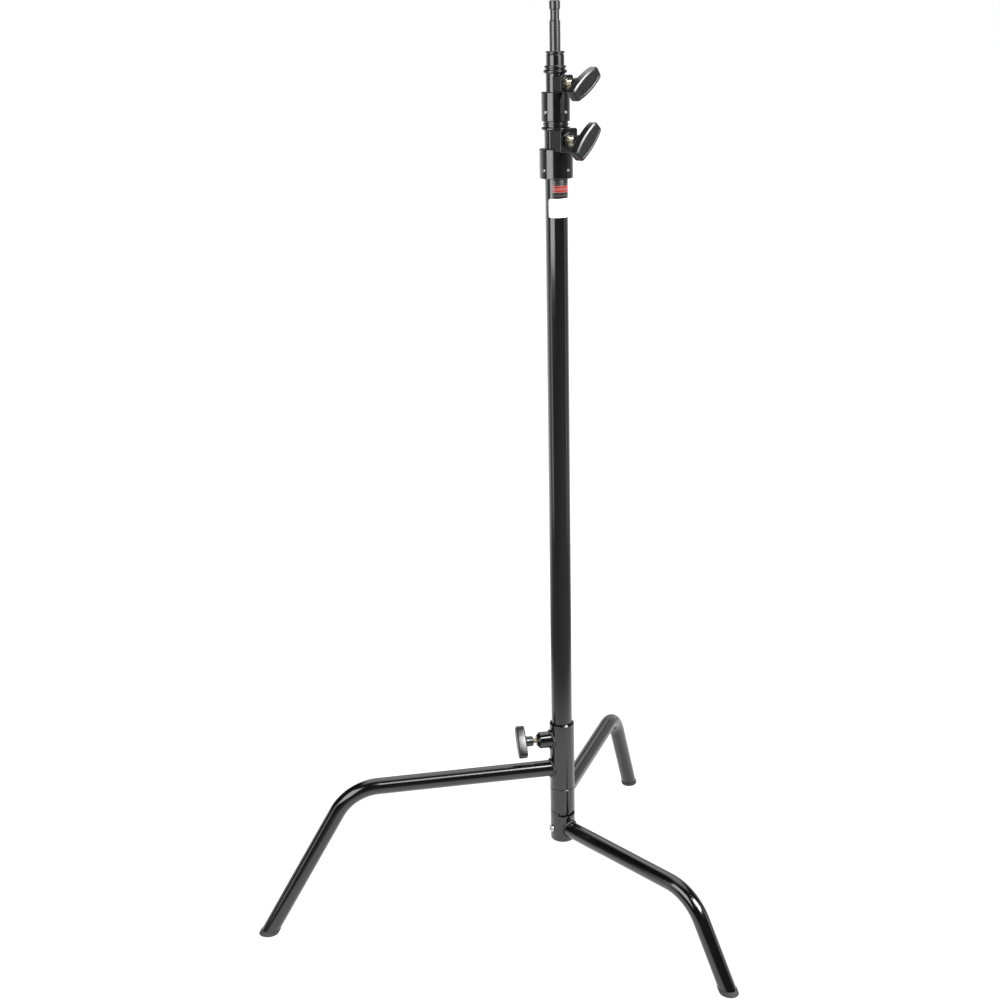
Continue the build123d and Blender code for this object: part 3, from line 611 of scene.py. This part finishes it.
# ---------------------------------------------------------------- welds
def weld(name, body, azimuth, z, pipe_r, sleeve_r, material, steps=150, around=10):
    """A rippled bead where a round tube meets a sleeve, drawn along their saddle line."""
    path = []
    for step in range(steps):
        angle = math.tau * step / steps
        across = pipe_r * math.cos(angle)
        rise = pipe_r * math.sin(angle)
        path.append(Vector((math.sqrt(sleeve_r ** 2 - across ** 2), across, rise)))
    rings = []
    for step, spot in enumerate(path):
        ahead = (path[(step + 1) % steps] - path[step - 1]).normalized()
        out_of_sleeve = Vector((spot.x, spot.y, 0)).normalized()
        out_of_pipe = Vector((0, spot.y, spot.z)).normalized()
        middle = (out_of_sleeve + out_of_pipe).normalized()
        across = ahead.cross(middle).normalized()
        swell = 1.0 + 0.16 * math.sin(math.tau * WELD_RIPPLES * step / steps)
        centre = spot + middle * WELD_R * 0.10
        rings.append([centre + (middle * math.cos(turn) + across * math.sin(turn))
                      * WELD_R * swell
                      for turn in (math.tau * side / around for side in range(around))])
    points, faces = skin_rings(rings, closed=True)
    axis = (math.cos(math.radians(azimuth)), math.sin(math.radians(azimuth)), 0)
    matrix = outward_matrix(Vector((0, 0, z)), axis)
    made = make_object(name, moved(points, matrix), faces, material, 60.0)
    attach(made, body)
    return made


def welds(material):
    """A bead round each leg's joint with its sleeve, and one round the hub's lock boss."""
    low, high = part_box("upper_leg_sleeve")
    sleeve_r = (high.x - low.x) / 2
    for leg in ("lower", "middle", "upper"):
        tube_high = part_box(f"{leg}_leg_tube")[1]
        tube = nodes[f"{leg}_leg_tube"].data.vertices
        far = max((vertex.co for vertex in tube), key=lambda co: co.x ** 2 + co.y ** 2)
        azimuth = leg_azimuth(far)
        pipe_r = leg_radius(leg, azimuth)
        weld(f"{leg}_leg_weld", f"{leg}_leg", azimuth, tube_high.z - pipe_r, pipe_r, sleeve_r,
             material)
    boss_low, boss_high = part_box("base_lock_boss")
    boss_r = (boss_high.z - boss_low.z) / 2
    weld("base_boss_weld", "upper_leg", 180.0, (boss_high.z + boss_low.z) / 2, boss_r, sleeve_r,
         material)


def leg_azimuth(spot):
    """The azimuth of a leg, to the nearest whole 60 degrees."""
    return 60.0 * round(math.degrees(math.atan2(spot.y, spot.x)) / 60.0)


def leg_radius(leg, azimuth):
    """Half the leg tube's width, measured across its azimuth."""
    side = Vector((-math.sin(math.radians(azimuth)), math.cos(math.radians(azimuth)), 0))
    low, high = reach(f"{leg}_leg_tube", side)
    return (high - low) / 2


# ---------------------------------------------------------------- stickers
def sticker(node, name, material, corner, columns=72):
    """A round-cornered sheet wrapped round the column, in its CAD solid's place."""
    low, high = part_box(node)
    around = [math.atan2(vertex.co.y, vertex.co.x) for vertex in nodes[node].data.vertices]
    start, end = min(around), max(around)
    radii = [math.hypot(vertex.co.x, vertex.co.y) for vertex in nodes[node].data.vertices]
    inner, outer = min(radii), max(radii)
    half = (high.z - low.z) / 2
    middle = (high.z + low.z) / 2
    edge = 0.12 * MM
    rings = []
    for column in range(columns + 1):
        part = (1 - math.cos(math.pi * column / columns)) / 2
        angle = start + (end - start) * part
        from_end = min(part, 1 - part) * (end - start) * outer
        reach_up = half
        if from_end < corner:
            reach_up = half - corner + math.sqrt(max(corner ** 2 - (corner - from_end) ** 2, 0))
        direction = Vector((math.cos(angle), math.sin(angle), 0))
        loop = [(inner, -reach_up), (outer - edge / 3, -reach_up),
                (outer, -reach_up + edge), (outer, reach_up - edge),
                (outer - edge / 3, reach_up), (inner, reach_up)]
        rings.append([direction * radius + UP * (middle + z) for radius, z in loop])
    points, faces = skin_rings(rings)
    points, faces = capped(points, faces, 6)
    made = make_object(name, points, faces, material, 50.0)
    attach(made, "column")
    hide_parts(node)
    return made


# ---------------------------------------------------------------- everything on the object
def dress_cad_nodes():
    """Gives every CAD node that stays its own finish."""
    gloss = black_enamel("gloss_enamel", base=0.0015, roughness=0.13, peel=0.15, wear=0.35)
    # satin edges are lightened more than gloss ones: wear plus a painted highlight on the cast edges
    satin = black_enamel("satin_enamel", base=0.0015, roughness=0.17, peel=0.25, wear=0.8)
    insert = black_enamel("blackened_steel", base=0.004, roughness=0.28, peel=0.3, wear=0.7,
                          edge_radius=0.0004)
    dulled = plated("dulled_zinc", grey(0.10), grey(0.20), roughness=0.30, grain=300.0)
    finishes = {
        "gloss_black": gloss,
        "satin_black": satin,
        "stud_steel": dark_stud(),
        "zinc_steel": plated("bright_zinc", grey(0.30), grey(0.52), 0.34, 300.0),
        "yellow_zinc": plated("yellow_zinc", (0.30, 0.28, 0.20, 1), (0.54, 0.51, 0.40, 1),
                              0.26, 300.0),
        "black_insert": insert,
        "brass": plated("turned_brass", (0.55, 0.42, 0.18, 1), (0.76, 0.62, 0.32, 1), 0.3, 200.0),
        "rivet_aluminium": plated("rivet_aluminium", grey(0.30), grey(0.46), 0.36, 400.0),
        "knob_plastic": moulded_plastic(),
        "guide_nylon": guide_nylon(),
        "foot_rubber": foot_rubber(),
    }
    slots = {part["node"]: part["material_slot"] for part in frame["record"]["subparts"]}
    for name, made in nodes.items():
        finish = dulled if "retaining_screw" in name else finishes.get(slots[name])
        if finish is None:
            continue
        made.data.materials.clear()
        made.data.materials.append(finish)
    for lock in ("column", "riser_1"):
        axis = Vector(joints[f"{lock}_lock_turn"]["axis"])
        node = f"{lock}_lock_insert"
        far = reach(node, axis)[1]
        nodes[node].data.materials.clear()
        nodes[node].data.materials.append(rimmed_insert(f"{lock}_insert_finish", axis, far))
    return finishes


finishes = dress_cad_nodes()
for lock, size, turn in KNOBS:
    knob(lock, size, turn, finishes["knob_plastic"])
    lock_screw(lock, size, finishes["yellow_zinc"])
welds(weld_paint())
band_low, band_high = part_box("column_band_label")
sticker("column_band_label", "striped_sticker", band_label(band_low.z, band_high.z),
        BAND_LABEL_CORNER)
sticker("column_blank_label", "blank_sticker", paper_label(),
        BLANK_LABEL_CORNER)


# ---------------------------------------------------------------- stage, light and camera
def floor():
    """A wide level floor that isn't part of the object."""
    half = 40.0
    made = make_object("floor", [(-half, -half, 0), (half, -half, 0), (half, half, 0),
                                 (-half, half, 0)], [(0, 1, 2, 3)], pale_floor())


def soft_light(name, place, aim, width, height, power):
    """A rectangular soft box at a place, facing a point."""
    data = bpy.data.lights.new(name, "AREA")
    data.shape = "RECTANGLE"
    data.size, data.size_y = width, height
    data.energy = power
    made = bpy.data.objects.new(name, data)
    bpy.context.scene.collection.objects.link(made)
    made.location = place
    made.rotation_mode = "QUATERNION"
    made.rotation_quaternion = (Vector(aim) - Vector(place)).to_track_quat("-Z", "Y")
    return made


def studio():
    """White to the camera. Around the object: a dark room, a pale backdrop and soft boxes."""
    world = bpy.data.worlds.new("studio")
    bpy.context.scene.world = world
    world.use_nodes = True
    tree = world.node_tree
    background = tree.nodes["Background"]
    where = tree.nodes.new("ShaderNodeTexCoord").outputs["Generated"]
    height = dot_with(tree, where, UP)
    behind = dot_with(tree, where, -toward_camera())
    right = dot_with(tree, where, camera_right())
    # the backdrop is low on the left and tall on the right
    top = remap(tree, right, -0.5, 0.2, -0.03, 0.42)
    level = math_node(tree, "MULTIPLY", backdrop_glow(tree, where),
                      remap(tree, math_node(tree, "SUBTRACT", height, top), -0.05, 0.15, 1.0, 0.0))
    canopy = math_node(tree, "MULTIPLY", remap(tree, height, 0.38, 0.60),
                       remap(tree, math_node(tree, "ABSOLUTE", right), 0.28, 0.42, 1.0, 0.0))
    canopy = math_node(tree, "MULTIPLY", canopy, remap(tree, behind, -0.1, 0.2, 0.0, 2.4))
    glow = math_node(tree, "ADD", math_node(tree, "MAXIMUM", level, canopy), 0.03)
    seen = tree.nodes.new("ShaderNodeLightPath").outputs["Is Camera Ray"]
    put(tree, background.inputs["Color"], grey(1.0))
    put(tree, background.inputs["Strength"], math_node(tree, "MAXIMUM", glow, seen))
    for box in LEVEL_BOXES:
        upright_box(*box)
    for box in HIGH_BOXES:
        high_box(*box)


def box_power(width, tall, radiance):
    """Watts that give a soft box this radiance."""
    return math.pi * width * tall * radiance


def high_box(name, angle, distance, height, aim_height, width, tall, radiance):
    """A soft box above the object, aimed down at its axis."""
    turn = Matrix.Rotation(math.radians(angle), 3, "Z")
    place = turn @ toward_camera() * distance + UP * height
    soft_light(name, place, (0, 0, aim_height), width, tall, box_power(width, tall, radiance))


def upright_box(name, angle, distance, height, width, tall, radiance):
    """A soft box that stands round the object, at an angle from the camera's side."""
    turn = Matrix.Rotation(math.radians(angle), 3, "Z")
    place = turn @ toward_camera() * distance + UP * height
    soft_light(name, place, (0, 0, height), width, tall, box_power(width, tall, radiance))


def camera_right():
    """The level direction to the camera's right."""
    azimuth = math.radians(CAMERA_AZIMUTH)
    return Vector((math.cos(azimuth), math.sin(azimuth), 0))


def toward_camera():
    """The level direction from the object to the camera."""
    azimuth = math.radians(CAMERA_AZIMUTH)
    return Vector((math.sin(azimuth), -math.cos(azimuth), 0))


def camera():
    """The camera: it stands at its azimuth, then pans, pitches down and rolls."""
    data = bpy.data.cameras.new("camera")
    data.sensor_width = SENSOR
    data.lens = CAMERA_FOCAL * SENSOR
    data.clip_start, data.clip_end = 0.05, 200.0
    made = bpy.data.objects.new("camera", data)
    bpy.context.scene.collection.objects.link(made)
    azimuth = Matrix.Rotation(math.radians(CAMERA_AZIMUTH), 3, "Z")
    pan, pitch = math.radians(CAMERA_PAN), math.radians(CAMERA_PITCH)
    forward = Vector((math.sin(pan) * math.cos(pitch), math.cos(pan) * math.cos(pitch),
                      -math.sin(pitch)))
    right = Vector((math.cos(pan), -math.sin(pan), 0))
    up = right.cross(forward)
    roll = math.radians(CAMERA_ROLL)
    rolled_right = right * math.cos(roll) + up * math.sin(roll)
    rolled_up = up * math.cos(roll) - right * math.sin(roll)
    facing = Matrix((rolled_right, rolled_up, -forward)).transposed()
    made.matrix_world = (Matrix.Translation(azimuth @ Vector((0, -CAMERA_DISTANCE, CAMERA_HEIGHT)))
                         @ (azimuth @ facing).to_4x4())
    bpy.context.scene.camera = made


floor()
studio()
camera()
bpy.context.scene.view_settings.view_transform = "Standard"
